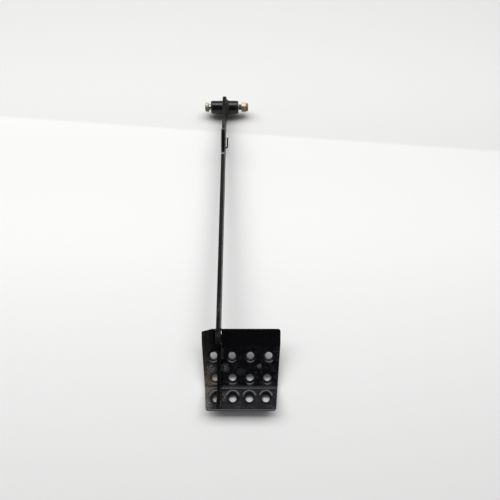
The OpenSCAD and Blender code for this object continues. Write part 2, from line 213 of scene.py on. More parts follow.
class NodeKit:
    """Adds nodes to one tree."""

    def __init__(self, tree: bpy.types.NodeTree) -> None:
        """Keep the tree.

        Args:
            tree: A shader or geometry tree.
        """
        self.tree = tree

    def node(
        self,
        kind: str,
        settings: dict[str, Any] | None = None,
        sockets: dict[str | int, Any] | None = None,
        output: str | int = 0,
    ) -> Wire:
        """Add any node.

        Args:
            kind: The node's type.
            settings: The node's own properties, which are set first.
            sockets: Values or wires by socket name, identifier or index.
            output: Name or index of the output to return.

        Returns:
            The chosen output.
        """
        added = self.tree.nodes.new(kind)
        for name, value in (settings or {}).items():
            setattr(added, name, value)
        for key, value in (sockets or {}).items():
            self._feed(self._socket(added.inputs, key), value)
        return Wire(self, self._socket(added.outputs, output))

    def _socket(self, sockets: Any, key: str | int) -> bpy.types.NodeSocket:
        """Find a socket, and prefer one that is in use.

        Args:
            sockets: A node's inputs or outputs.
            key: The socket's index, identifier or name.

        Returns:
            The socket.
        """
        if isinstance(key, int):
            return sockets[key]
        matches = [s for s in sockets if s.identifier == key] or [s for s in sockets if s.name == key]
        enabled = [s for s in matches if s.enabled]
        return (enabled or matches)[0]

    def _feed(self, socket: bpy.types.NodeSocket, value: Any) -> None:
        """Link a wire to a socket or set its value.

        Args:
            socket: An input socket.
            value: A wire, number, point, colour or material.
        """
        if isinstance(value, Wire):
            self.tree.links.new(value.socket, socket)
        elif socket.type == "RGBA":
            socket.default_value = (*value[:3], 1.0)
        else:
            socket.default_value = value

    def position(self) -> Wire:
        """Return Object coordinates, which are the row frame's metres."""
        return self.node("ShaderNodeTexCoord", output="Object")

    def parts(self, vector: Wire) -> tuple[Wire, Wire, Wire]:
        """Split a vector into X, Y and Z."""
        split = self.node("ShaderNodeSeparateXYZ", sockets={0: vector}).socket.node
        return Wire(self, split.outputs[0]), Wire(self, split.outputs[1]), Wire(self, split.outputs[2])

    def cells(self, grain: float, shift: float) -> Wire:
        """Return the distance to scattered points.

        Args:
            grain: Size of a cell.
            shift: Offset that gives each use its own pattern.

        Returns:
            Distance in cell sizes.
        """
        place = self.position() + (shift, shift, shift)
        return self.node("ShaderNodeTexVoronoi", {}, {"Vector": place, "Scale": 1 / grain}, "Distance")

    def compare(self, value: Wire, limit: float) -> Wire:
        """Return 1 where a value is above a limit and 0 elsewhere."""
        return self.node("ShaderNodeMath", {"operation": "GREATER_THAN"}, {0: value, 1: limit})

    def realized(self, geometry: Wire) -> Wire:
        """Turn instances into real geometry."""
        return self.node("GeometryNodeRealizeInstances", {}, {"Geometry": geometry})

    def mix(self, share: Any, first: Any, second: Any) -> Wire:
        """Blend two colours.

        Args:
            share: Share of the second colour.
            first: Colour or wire at share 0.
            second: Colour or wire at share 1.

        Returns:
            The blended colour.
        """
        sockets = {"Factor_Float": share, "A_Color": first, "B_Color": second}
        return self.node("ShaderNodeMix", {"data_type": "RGBA"}, sockets, "Result_Color")

    def edges(self, radius: float, low: float, high: float) -> Wire:
        """Return a mask of the piece's sharp edges.

        Args:
            radius: Reach of the mask from an edge.
            low: Bend at which the mask starts.
            high: Bend at which it is full.

        Returns:
            A mask from 0 to 1.
        """
        rounded = self.node("ShaderNodeBevel", {"samples": EDGE_SAMPLES}, {"Radius": radius})
        plain = self.node("ShaderNodeNewGeometry", output="Normal")
        return (1 - rounded.dot(plain)).step(low, high)

    def near(self, place: Point, inner: float, outer: float) -> Wire:
        """Return a mask that is 1 within inner of a place and falls to 0 at outer."""
        return self.position().distance(place).step(outer, inner)

    def bump(self, height: Wire, depth: float, strength: float) -> Wire:
        """Return a normal bent by a height map, where depth is the real height of 1."""
        return self.node("ShaderNodeBump", {}, {"Height": height, "Distance": depth, "Strength": strength})

    def close(self, shader: Wire, kind: str = "ShaderNodeOutputMaterial") -> None:
        """Join a shader to a new output node."""
        output = self.tree.nodes.new(kind)
        self.tree.links.new(shader.socket, output.inputs["Surface"])


def new_material(name: str) -> tuple[bpy.types.Material, NodeKit]:
    """Make an empty node material.

    Args:
        name: The material's name.

    Returns:
        The material and a kit for its tree.
    """
    material = bpy.data.materials.new(name)
    material.use_nodes = True
    material.node_tree.nodes.clear()
    return material, NodeKit(material.node_tree)


@dataclass(frozen=True)
class Grain:
    """Noise on a finish, with the levels between which it fades in."""

    size: float
    levels: Levels = (0.0, 1.0)
    detail: float = 3.0
    stretch: Point = (1, 1, 1)
    shift: float = 0.0
    rough: float = 0.5

    def noise(self, kit: NodeKit) -> Wire:
        """Return the bare noise.

        Args:
            kit: Kit of the finish's tree.

        Returns:
            Fractal noise from 0 to 1, drawn out where stretch is below 1.
        """
        place = kit.position() * self.stretch + (self.shift, self.shift, self.shift)
        sockets = {"Vector": place, "Scale": 1 / self.size, "Detail": self.detail, "Roughness": self.rough}
        return kit.node("ShaderNodeTexNoise", {}, sockets)

    def mask(self, kit: NodeKit) -> Wire:
        """Return the noise, faded between its levels."""
        return self.noise(kit).step(*self.levels)


@dataclass(frozen=True)
class EdgeWear:
    """Reach of the wear from a sharp edge, and the bends between which it fades in."""

    reach: float
    bends: Levels

    def mask(self, kit: NodeKit) -> Wire:
        """Return the worn edges."""
        return kit.edges(self.reach, *self.bends)


@dataclass(frozen=True)
class Coat:
    """One coat of a finish: paint, dirt, rust or wear."""

    colour: Colour
    strength: float = 1.0
    roughness: float | None = None
    depth: float = 0.0


@dataclass(frozen=True)
class Relief:
    """Real height of a finish's relief, and how much of it shows."""

    depth: float
    strength: float


@dataclass(frozen=True)
class Mark:
    """A ragged mark round one place, which thins from the inner reach to the outer one."""

    place: Point
    reach: Levels
    coat: Coat
    grain: float = 0.002
    cover: float = 0.5
    levels: Levels = (0.62, 0.78)
    cover_gain: float = 0.3
    detail: float = 4.0
    rough: float = 0.65
    first_shift: float = 11.0

    def mask(self, kit: NodeKit, index: int) -> Wire:
        """Return where the mark lies.

        Args:
            kit: Kit of the finish's tree.
            index: The mark's number, which gives it a pattern of its own.

        Returns:
            A mask from 0 to 1.
        """
        shift = self.first_shift + index
        ragged = Grain(self.grain, detail=self.detail, shift=shift, rough=self.rough)
        low, high = (level - self.cover_gain * self.cover for level in self.levels)
        return kit.near(self.place, *self.reach) * ragged.noise(kit).step(low, high)


@dataclass(frozen=True)
class PaintedLightBand:
    """A stretch of the arm's front edge, between two heights, painted darker as painted shade or lighter
    as a painted highlight.
    """

    low: float
    high: float
    blur: float
    coat: Coat

    def mask(self, height: Wire) -> Wire:
        """Return where the band lies.

        Args:
            height: Height on the arm.

        Returns:
            A mask from 0 to 1.
        """
        above = height.step(self.low - self.blur, self.low + self.blur)
        return above * height.step(self.high + self.blur, self.high - self.blur)


@dataclass
class Layers:
    """Colour, roughness and relief of a finish, laid on one coat after another."""

    kit: NodeKit
    colour: Any
    roughness: Any
    relief: Any

    def lay(self, share: Wire, coat: Coat, colour: Wire | None = None) -> None:
        """Lay a coat over what is there.

        Args:
            share: Where the coat lies, from 0 to 1.
            coat: The coat; its depth is in the relief's own unit.
            colour: A colour that varies, in place of the coat's own.
        """
        share = share * coat.strength
        self.colour = self.kit.mix(share, self.colour, colour or coat.colour)
        if coat.roughness is not None:
            self.roughness = self.roughness + share * (coat.roughness - self.roughness)
        if coat.depth:
            self.relief = share * coat.depth + self.relief

    def mark(self, marks: Sequence[Mark]) -> None:
        """Lay a list of ragged marks.

        Args:
            marks: The marks, in the order in which they are laid.
        """
        for index, mark in enumerate(marks):
            self.lay(mark.mask(self.kit, index), mark.coat)

    def wire_up(self, relief: Relief, specular: float = 0.5, metallic: Any = 0.0) -> None:
        """Join the layers to a Principled shader and the output.

        Args:
            relief: Height of the relief.
            specular: Strength of the reflection of what isn't metal.
            metallic: Share of bare metal.
        """
        sockets = {
            "Base Color": self.colour,
            "Roughness": self.roughness,
            "Metallic": metallic,
            "Specular IOR Level": specular,
            "Normal": self.kit.bump(self.relief, relief.depth, relief.strength),
        }
        self.kit.close(self.kit.node("ShaderNodeBsdfPrincipled", {}, sockets))


def brighter(colour: Colour, gain: float, lift: float = 0.0) -> Colour:
    """Return a colour times a gain, plus a lift, and no brighter than white."""
    return tuple(min(1.0, channel * gain + lift) for channel in colour)


@dataclass(frozen=True)
class BrushedPaint:
    """Black paint on the arm and the tube, scratched along its length and chipped at the edges.

    The chips get fewer where wear is low. What lies below low_fade is chipped more, and the tail on
    the pad is painted darker and dull, as painted shade where its front edge faces down.
    """

    name: str
    colour: Colour
    roughness: float
    specular: float
    wear: float
    marks: tuple[Mark, ...] = ()
    painted_light_bands: tuple[PaintedLightBand, ...] = ()
    front_fade: Levels = (-0.0125, -0.0140)
    side_fade: Levels = (0.9997, 1.0)
    low_fade: Levels = (-0.29, -0.35)
    tail_fade: Levels = (-0.400, -0.406)
    # painted shade: the tail on the pad is darker than the paint above it
    tail_shade_coat: Coat = Coat((0.0015, 0.0015, 0.0016), 0.9, 0.85)
    tail_spared: float = 0.8
    cloud: Grain = Grain(0.009, (0.35, 0.7), 4.0)
    cloud_gain: float = 1.7
    cloud_lift: float = 0.001
    cloud_roughness: float = 0.2
    peel: Grain = Grain(0.0016, detail=2.0, shift=5.0)
    peel_depth: float = 0.4
    scratch: Grain = Grain(0.0007, (0.60, 0.72), stretch=(1.0, 1.0, 0.05), shift=2.2)
    scratched: Grain = Grain(0.02, (0.42, 0.62), 2.0, shift=3.9)
    scratch_coat: Coat = Coat((0.12, 0.118, 0.112), 0.32, 0.5, -0.3)
    dust: Grain = Grain(0.0032, (0.5, 0.68), 5.0, shift=9.4, rough=0.7)
    dust_coat: Coat = Coat((0.17, 0.16, 0.145), 0.075, 0.6)
    side_levels: Levels = (0.3, 0.7)
    # painted light: the flat sides are painted lighter where the lamps leave them dark
    side_painted_light_coat: Coat = Coat((0.02, 0.0205, 0.021), 0.8, 0.3)
    rub: Grain = Grain(0.012, (0.54, 0.74), 5.0, shift=14.0, rough=0.7)
    # rubbed patches on the flat sides, painted lighter: partly rub wear, partly painted light
    rub_and_painted_light_coat: Coat = Coat((0.07, 0.067, 0.062), 0.6, 0.5)
    edge: EdgeWear = EdgeWear(0.0009, (0.01, 0.1))
    chip: Grain = Grain(0.0022, (0.40, 0.56), 4.0, shift=1.3)
    chip_spread: float = 0.12
    chips_above: float = 0.45
    chip_share: float = 0.8
    flake: Grain = Grain(0.0014, (0.70, 0.74), shift=4.1)
    flake_spread: float = 0.05
    flake_share: float = 0.5
    bare: Grain = Grain(0.0009, detail=2.0, shift=7.7)
    rust: Colour = (0.10, 0.075, 0.055)
    bare_coat: Coat = Coat((0.33, 0.31, 0.29), 1.0, 0.45, -1.0)
    relief: Relief = Relief(0.00006, 0.7)

    def material(self) -> bpy.types.Material:
        """Build the paint's material.

        Returns:
            The material.
        """
        material, kit = new_material(self.name)
        x, y, height = kit.parts(kit.position())
        tail = height.step(*self.tail_fade)
        low = height.step(*self.low_fade) * (1 - tail * self.tail_spared)
        side = abs(x).step(*self.side_fade)
        cloud = self.cloud.noise(kit)
        thin = brighter(self.colour, self.cloud_gain, self.cloud_lift)
        first = kit.mix(cloud.step(*self.cloud.levels), self.colour, thin)
        roughness = cloud * self.cloud_roughness + (self.roughness - self.cloud_roughness / 2)
        coats = Layers(kit, first, roughness, self.peel.noise(kit) * self.peel_depth)
        coats.lay(self.scratch.mask(kit) * self.scratched.mask(kit) * self.wear, self.scratch_coat)
        coats.lay(self.dust.mask(kit) * self.wear, self.dust_coat)
        # painted light: the flat sides and their rubbed patches are painted lighter
        coats.lay(side * cloud.step(*self.side_levels), self.side_painted_light_coat)
        coats.lay(side * self.rub.mask(kit), self.rub_and_painted_light_coat)
        # painted shade and painted highlights on the arm's front edge, at the lug
        for band in self.painted_light_bands:
            coats.lay(band.mask(height) * y.step(*self.front_fade), band.coat)
        # painted shade on the tail
        coats.lay(tail, self.tail_shade_coat)
        self.chip_edges(coats, low)
        coats.mark(self.marks)
        coats.wire_up(self.relief, self.specular)
        return material

    def chip_edges(self, coats: Layers, low: Wire) -> None:
        """Chip the paint off the edges, and in flakes off the low part.

        Args:
            coats: The finish so far.
            low: Where the paint is chipped more.
        """
        kit = coats.kit
        chip_from, chip_to = self.chip.levels
        flake_from, flake_to = self.flake.levels
        chips = self.edge.mask(kit) * self.chip.noise(kit)
        chips = chips.step(chip_from - self.chip_spread * self.wear, chip_to)
        chips = chips * (self.chips_above + (1 - self.chips_above) * low) * self.chip_share
        flakes = self.flake.noise(kit).step(flake_from - self.flake_spread * self.wear, flake_to)
        bare = kit.mix(self.bare.noise(kit), self.rust, self.bare_coat.colour)
        coats.lay(chips.at_least(flakes * low * self.flake_share) * self.wear, self.bare_coat, bare)


@dataclass(frozen=True)
class DippedPaint:
    """Glossy blue-black paint on the foot pad: worn and stained beside the arm, hazed by shoes.

    Each fade gives the two places between which a region of the pad starts: low towards the foot's
    end, left beside the arm, right at the free side, front on the side away from the foot. Light is
    painted in too: painted highlights along the fold and the bottom edge, the bottom panel painted
    lighter, and painted shade under the bottom edge.
    """

    name: str = "pad_paint"
    colour: Colour = (0.0026, 0.0026, 0.0036)
    roughness: float = 0.15
    marks: tuple[Mark, ...] = ()
    front_slope: float = 0.4
    front_fade: Levels = (-0.128, -0.136)
    flange_fade: Levels = (-0.4005, -0.4045)
    fold_height: float = -0.457
    fold_blur: float = 0.001
    low_fade: Levels = (-0.405, -0.455)
    left_fade: Levels = (-0.004, -0.021)
    right_fade: Levels = (0.066, 0.085)
    cloud: Grain = Grain(0.007, (0.35, 0.7), 4.0)
    cloud_gain: float = 1.5
    cloud_roughness: float = 0.1
    peel: Grain = Grain(0.0012, detail=2.0, shift=5.0)
    peel_depth: float = 0.25
    smear: Grain = Grain(0.0065, (0.47, 0.66), 4.0, shift=21.0, rough=0.6)
    smears_above: float = 0.35
    haze_coat: Coat = Coat((0.0165, 0.018, 0.0215), 1.0, 0.26)
    # painted light: the bottom panel is painted lighter than the rest of the sheet
    bottom_panel_light_coat: Coat = Coat((0.0052, 0.0055, 0.0075), 0.85, 0.14)
    streak: Grain = Grain(0.004, (0.5, 0.72), 4.0, stretch=(0.35, 1.0, 1.0), shift=31.0)
    streaks_low: float = 0.35
    streaks_right: float = 0.6
    streak_coat: Coat = Coat((0.032, 0.034, 0.038), 1.0, 0.35)
    # painted highlight: a light line along the fold, except left of the arm
    fold_highlight_width: Levels = (0.0016, 0.0003)
    fold_highlight_coat: Coat = Coat((0.06, 0.063, 0.068), 0.55, 0.3)
    grit: Grain = Grain(0.0042, (0.30, 0.56), 5.0, shift=41.0, rough=0.7)
    grime_above: float = 0.25
    grime_below: float = 0.55
    grime_coat: Coat = Coat((0.064, 0.054, 0.043), 1.0, 0.55, 0.3)
    rust_levels: Levels = (0.56, 0.66)
    rust_coat: Coat = Coat((0.14, 0.105, 0.07), 0.6, 0.7, 0.4)
    speck_size: float = 0.0023
    speck_shift: float = 2.0
    speck_levels: Levels = (0.16, 0.08)
    specked: Grain = Grain(0.01, (0.5, 0.6), 2.0, shift=51.0)
    speck_coat: Coat = Coat((0.10, 0.10, 0.10), 0.35, 0.5, 0.6)
    edge: EdgeWear = EdgeWear(0.0007, (0.015, 0.12))
    chip: Grain = Grain(0.002, (0.34, 0.56), 4.0, shift=61.0)
    chips_anywhere: float = 0.25
    chips_by_arm: float = 0.35
    bare_levels: Levels = (0.4, 0.6)
    rust: Colour = (0.12, 0.08, 0.05)
    bare_coat: Coat = Coat((0.2, 0.19, 0.18), 1.0, 0.4, -0.8)
    back_levels: Levels = (0.3, 0.65)
    back_coat: Coat = Coat((0.0125, 0.0125, 0.0135), 0.7, 0.3)
    back_roughness: float = 0.12
    # painted highlight: a light line along the front of the bottom edge, stronger at the free side
    rim_fade: Levels = (-0.4863, -0.4868)
    rim_highlight_share: float = 0.35
    rim_highlight_coat: Coat = Coat((0.17, 0.17, 0.17), 1.0, 0.35)
    # painted shade: the underside of the bottom edge is painted near black
    under_fade: Levels = (-0.4875, -0.4879)
    underside_shade_coat: Coat = Coat((0.0018, 0.0018, 0.002), 0.9, 0.8)
    ripple: Grain = Grain(0.014, detail=2.0, shift=71.0)
    ripple_depth: float = 1.6
    relief: Relief = Relief(0.00007, 0.7)
    specular: float = 0.32

    def material(self) -> bpy.types.Material:
        """Build the paint's material.

        Returns:
            The material.
        """
        material, kit = new_material(self.name)
        x, y, z = kit.parts(kit.position())
        front = (y + z * self.front_slope).step(*self.front_fade)
        left = x.step(*self.left_fade)
        right = x.step(*self.right_fade)
        low = z.step(*self.low_fade)
        cloud = self.cloud.noise(kit)
        thin = brighter(self.colour, self.cloud_gain)
        first = kit.mix(cloud.step(*self.cloud.levels), self.colour, thin)
        roughness = cloud * self.cloud_roughness + (self.roughness - self.cloud_roughness / 2)
        coats = Layers(kit, first, roughness, self.peel.noise(kit) * self.peel_depth)
        self.haze_panels(coats, z, low, left, right)
        self.soil(coats, z.step(*self.flange_fade), low, left)
        chips = (self.edge.mask(kit) * self.chip.noise(kit)).step(*self.chip.levels)
        bare = kit.mix(cloud.step(*self.bare_levels), self.bare_coat.colour, self.rust)
        coats.lay(chips * (self.chips_anywhere + self.chips_by_arm * left * low), self.bare_coat, bare)
        coats.lay((1 - front) * cloud.step(*self.back_levels), self.back_coat)
        # painted highlight along the bottom edge
        rim = z.step(*self.rim_fade) * front
        coats.lay(rim * (self.rim_highlight_share + self.rim_highlight_share * right), self.rim_highlight_coat)
        # painted shade under the bottom edge
        coats.lay(z.step(*self.under_fade), self.underside_shade_coat)
        coats.mark(self.marks)
        coats.roughness = coats.roughness + (1 - front) * self.back_roughness
        coats.relief = coats.relief + self.ripple.noise(kit) * self.ripple_depth
        coats.wire_up(self.relief, self.specular)
        return material

    def haze_panels(self, coats: Layers, z: Wire, low: Wire, left: Wire, right: Wire) -> None:
        """Smear the middle panel, paint the bottom one lighter as painted light and paint a highlight
        along the fold between them.

        Args:
            coats: The finish so far.
            z: Height.
            low: The pad's lower part.
            left: The side beside the arm.
            right: The free side.
        """
        kit = coats.kit
        below_flange = z.step(*self.flange_fade)
        below_fold = z.step(self.fold_height + self.fold_blur, self.fold_height - self.fold_blur)
        smears = self.smear.mask(kit) * (self.smears_above + (1 - self.smears_above) * low)
        coats.lay(smears * below_flange, self.haze_coat)
        # painted light on the bottom panel
        coats.lay(below_fold, self.bottom_panel_light_coat)
        streaked = (below_fold * self.streaks_low).at_least(right * self.streaks_right)
        coats.lay(self.streak.mask(kit) * streaked * below_flange, self.streak_coat)
        # painted highlight along the fold
        coats.lay(abs(z - self.fold_height).step(*self.fold_highlight_width) * (1 - left), self.fold_highlight_coat)

    def soil(self, coats: Layers, below_flange: Wire, low: Wire, left: Wire) -> None:
        """Lay grime, rust and specks of dirt.

        Args:
            coats: The finish so far.
            below_flange: The two lower panels.
            low: The pad's lower part.
            left: The side beside the arm.
        """
        kit = coats.kit
        grit = self.grit.noise(kit)
        grime = grit.step(*self.grit.levels) * (self.grime_above + self.grime_below * low)
        coats.lay(left * grime, self.grime_coat)
        coats.lay(left * low * grit.step(*self.rust_levels), self.rust_coat)
        specks = kit.cells(self.speck_size, self.speck_shift).step(*self.speck_levels)
        coats.lay(specks * self.specked.mask(kit) * below_flange, self.speck_coat)


@dataclass(frozen=True)
class WeldPaint:
    """Black paint over a weld bead, thin on the crests and rusty in the hollows."""

    name: str = "painted_weld"
    colour: Colour = (0.006, 0.0058, 0.0056)
    roughness: float = 0.30
    blotch: Grain = Grain(0.0025, (0.5, 0.66), 4.0, shift=3.1)
    blotch_roughness: float = 0.25
    blotch_coat: Coat = Coat((0.06, 0.055, 0.05), 0.5, 0.5)
    grit: Grain = Grain(0.0007, shift=1.1)
    rust: Grain = Grain(0.0034, (0.60, 0.72), 4.0, shift=8.8)
    rust_coat: Coat = Coat((0.12, 0.06, 0.03), 0.5, 0.7)
    crest_levels: Levels = (0.52, 0.6)
    crest_coat: Coat = Coat((0.2, 0.19, 0.18), 0.35, 0.4)
    relief: Relief = Relief(0.00012, 0.6)
    specular: float = 0.35

    def material(self) -> bpy.types.Material:
        """Build the weld's material.

        Returns:
            The material.
        """
        material, kit = new_material(self.name)
        blotch = self.blotch.noise(kit)
        roughness = self.roughness + blotch * self.blotch_roughness
        coats = Layers(kit, self.colour, roughness, self.grit.noise(kit))
        coats.lay(blotch.step(*self.blotch.levels), self.blotch_coat)
        coats.lay(self.rust.mask(kit), self.rust_coat)
        crest = kit.node("ShaderNodeNewGeometry", output="Pointiness")
        coats.lay(crest.step(*self.crest_levels), self.crest_coat)
        coats.wire_up(self.relief, self.specular)
        return material


@dataclass(frozen=True)
class ZincPlate:
    """Passivated zinc on a forged or turned fastener, with grime in spots and past a place on X."""

    name: str
    colour: Colour
    tint: Colour
    grime_coat: Coat
    roughness: float
    grime_fade: Levels
    sheen: Grain = Grain(0.003, (0.35, 0.65), shift=1.9)
    turning: Grain = Grain(0.0004, detail=2.0, stretch=(6.0, 1.0, 1.0), shift=0.7)
    turning_roughness: float = 0.12
    edge: EdgeWear = EdgeWear(0.0006, (0.02, 0.15))
    edge_gain: float = 1.25
    edge_strength: float = 0.5
    edge_roughness: float = 0.25
    soil: Grain = Grain(0.0021, (0.47, 0.62), 5.0, shift=6.6, rough=0.65)
    soiling: float = 0.8
    hidden_metal: float = 0.7
    relief: Relief = Relief(0.00003, 0.6)

    def material(self) -> bpy.types.Material:
        """Build the plate's material.

        Returns:
            The material.
        """
        material, kit = new_material(self.name)
        x = kit.parts(kit.position())[0]
        first = kit.mix(self.sheen.mask(kit), self.colour, self.tint)
        turning = self.turning.noise(kit)
        coats = Layers(kit, first, self.roughness + turning * self.turning_roughness, turning)
        worn = Coat(brighter(self.colour, self.edge_gain), self.edge_strength, self.edge_roughness)
        coats.lay(self.edge.mask(kit), worn)
        dirt = self.soil.mask(kit).at_least(x.step(*self.grime_fade)) * self.soiling
        coats.lay(dirt, self.grime_coat)
        coats.wire_up(self.relief, metallic=1 - dirt * self.hidden_metal)
        return material


@dataclass(frozen=True)
class Nylon:
    """Moulded dark nylon with a few scuffs."""

    name: str
    colour: Colour
    roughness: float = 0.5
    cloud: Grain = Grain(0.004)
    cloud_gain: float = 1.7
    cloud_roughness: float = 0.1
    texture: Grain = Grain(0.0005, detail=2.0)
    scuff: Grain = Grain(0.0009, (0.62, 0.74), stretch=(1.0, 1.0, 0.2), shift=3.3)
    scuff_coat: Coat = Coat((0.1, 0.1, 0.09), 0.4, 0.65)
    relief: Relief = Relief(0.00002, 0.5)
    specular: float = 0.4

    def material(self) -> bpy.types.Material:
        """Build the plastic's material.

        Returns:
            The material.
        """
        material, kit = new_material(self.name)
        cloud = self.cloud.noise(kit)
        first = kit.mix(cloud, self.colour, brighter(self.colour, self.cloud_gain))
        coats = Layers(kit, first, self.roughness + cloud * self.cloud_roughness, self.texture.noise(kit))
        coats.lay(self.scuff.mask(kit), self.scuff_coat)
        coats.wire_up(self.relief, self.specular)
        return material


@dataclass(frozen=True)
class TurnedSteel:
    """Bright steel with fine turning marks round X."""

    name: str = "turned_steel"
    colour: Colour = (0.52, 0.51, 0.49)
    roughness: float = 0.28
    turning: Grain = Grain(0.00035, detail=2.0, stretch=(1.0, 0.05, 0.05))
    turning_roughness: float = 0.1
    dirt: Grain = Grain(0.002, (0.5, 0.75), 4.0, shift=2.5)
    dirt_coat: Coat = Coat((0.12, 0.085, 0.06), 0.6, 0.6)
    hidden_metal: float = 0.4
    relief: Relief = Relief(0.00002, 0.6)

    def material(self) -> bpy.types.Material:
        """Build the steel's material.

        Returns:
            The material.
        """
        material, kit = new_material(self.name)
        turning = self.turning.noise(kit)
        dirt = self.dirt.mask(kit)
        coats = Layers(kit, self.colour, self.roughness + turning * self.turning_roughness, turning)
        coats.lay(dirt, self.dirt_coat)
        coats.wire_up(self.relief, metallic=1 - dirt * self.hidden_metal)
        return material


def dress(node: str, material: bpy.types.Material) -> None:
    """Give a CAD node its material.

    Args:
        node: The node's name.
        material: Its finish.
    """
    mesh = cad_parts[node].data
    mesh.materials.clear()
    mesh.materials.append(material)
    LOG.info("dressed %s with %s", node, material.name)


def welded_copy(node: str) -> bpy.types.Mesh:
    """Copy a CAD node's mesh, with its loose triangles merged and its flat faces made whole.

    Args:
        node: The node's name.

    Returns:
        The new mesh, which has no material.
    """
    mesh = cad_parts[node].data.copy()
    mesh.materials.clear()
    shape = bmesh.new()
    shape.from_mesh(mesh)
    bmesh.ops.remove_doubles(shape, verts=shape.verts, dist=MERGE_REACH)
    bmesh.ops.dissolve_limit(shape, angle_limit=FLAT_ANGLE, verts=shape.verts, edges=shape.edges)
    shape.to_mesh(mesh)
    shape.free()
    normals = mesh.attributes.get("custom_normal")
    if normals is not None:
        mesh.attributes.remove(normals)
    return mesh


def finished(piece: bpy.types.Object) -> bpy.types.Object:
    """Turn a piece with modifiers into a plain mesh.

    Args:
        piece: The piece, in the scene.

    Returns:
        The same piece, without modifiers.
    """
    graph = bpy.context.evaluated_depsgraph_get()
    mesh = bpy.data.meshes.new_from_object(piece.evaluated_get(graph), depsgraph=graph)
    mesh.name = piece.name
    piece.modifiers.clear()
    piece.data = mesh
    return piece


def add_piece(name: str, mesh: bpy.types.Mesh) -> bpy.types.Object:
    """Put a mesh in the scene.

    Args:
        name: The piece's name.
        mesh: Its mesh, already in the frame's place.

    Returns:
        The piece.
    """
    piece = bpy.data.objects.new(name, mesh)
    bpy.context.scene.collection.objects.link(piece)
    return piece


def settle(
    piece: bpy.types.Object,
    material: bpy.types.Material,
    body: Body,
    replaced: Sequence[str] = (),
) -> None:
    """Dress a finished piece and tie it to the frame.

    Args:
        piece: The piece.
        material: Its finish.
        body: The body on which it rides.
        replaced: CAD nodes for which it stands.
    """
    piece.data.materials.clear()
    piece.data.materials.append(material)
    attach(piece, body.value)
    if replaced:
        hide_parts(*replaced)
    LOG.info("made %s, %d faces", piece.name, len(piece.data.polygons))


def rounded_piece(name: str, mesh: bpy.types.Mesh, width: float) -> bpy.types.Object:
    """Break the sharp edges of a mesh with a small bevel.

    Args:
        name: The new piece's name.
        mesh: A closed mesh.
        width: Width of the bevel.

    Returns:
        The piece.
    """
    mesh.polygons.foreach_set("use_smooth", [True] * len(mesh.polygons))
    mesh.set_sharp_from_angle(angle=SMOOTH_ANGLE)
    piece = add_piece(name, mesh)
    bevel = piece.modifiers.new("broken_edges", "BEVEL")
    bevel.width = width
    bevel.segments = BEVEL_SEGMENTS
    bevel.limit_method = "ANGLE"
    bevel.angle_limit = SMOOTH_ANGLE
    bevel.harden_normals = True
    return finished(piece)


class GeometryTree:
    """A Geometry Nodes tree with named inputs, run once on a piece."""

    def __init__(self, name: str) -> None:
        """Make the tree with its geometry sockets.

        Args:
            name: The tree's name.
        """
        self.tree = bpy.data.node_groups.new(name, "GeometryNodeTree")
        self.tree.interface.new_socket("Geometry", in_out="INPUT", socket_type="NodeSocketGeometry")
        self.tree.interface.new_socket("Geometry", in_out="OUTPUT", socket_type="NodeSocketGeometry")
        self.kit = NodeKit(self.tree)
        self.values: dict[str, Any] = {}

    def size(self, name: str, value: float | int) -> Wire:
        """Add a named input.

        Args:
            name: The input's name.
            value: Its value, whose type decides the socket's.

        Returns:
            The input inside the tree.
        """
        kind = "NodeSocketInt" if isinstance(value, int) else "NodeSocketFloat"
        socket = self.tree.interface.new_socket(name, in_out="INPUT", socket_type=kind)
        self.values[socket.identifier] = value
        return self.kit.node("NodeGroupInput", output=name)

    def geometry(self) -> Wire:
        """Return the geometry that comes in."""
        return self.kit.node("NodeGroupInput", output="Geometry")

    def run(self, piece: bpy.types.Object, result: Wire, material: bpy.types.Material) -> bpy.types.Object:
        """Close the tree, run it on a piece and keep the result as a plain mesh.

        Args:
            piece: The piece.
            result: The geometry that the tree makes.
            material: The finish that the tree sets.

        Returns:
            The same piece, with the new mesh.
        """
        whole = {"Geometry": self.kit.realized(result), "Material": material}
        dressed = self.kit.node("GeometryNodeSetMaterial", {}, whole)
        output = self.tree.nodes.new("NodeGroupOutput")
        self.tree.links.new(dressed.socket, output.inputs[0])
        modifier = piece.modifiers.new(self.tree.name, "NODES")
        modifier.node_group = self.tree
        for identifier, value in self.values.items():
            modifier[identifier] = value
        return finished(piece)


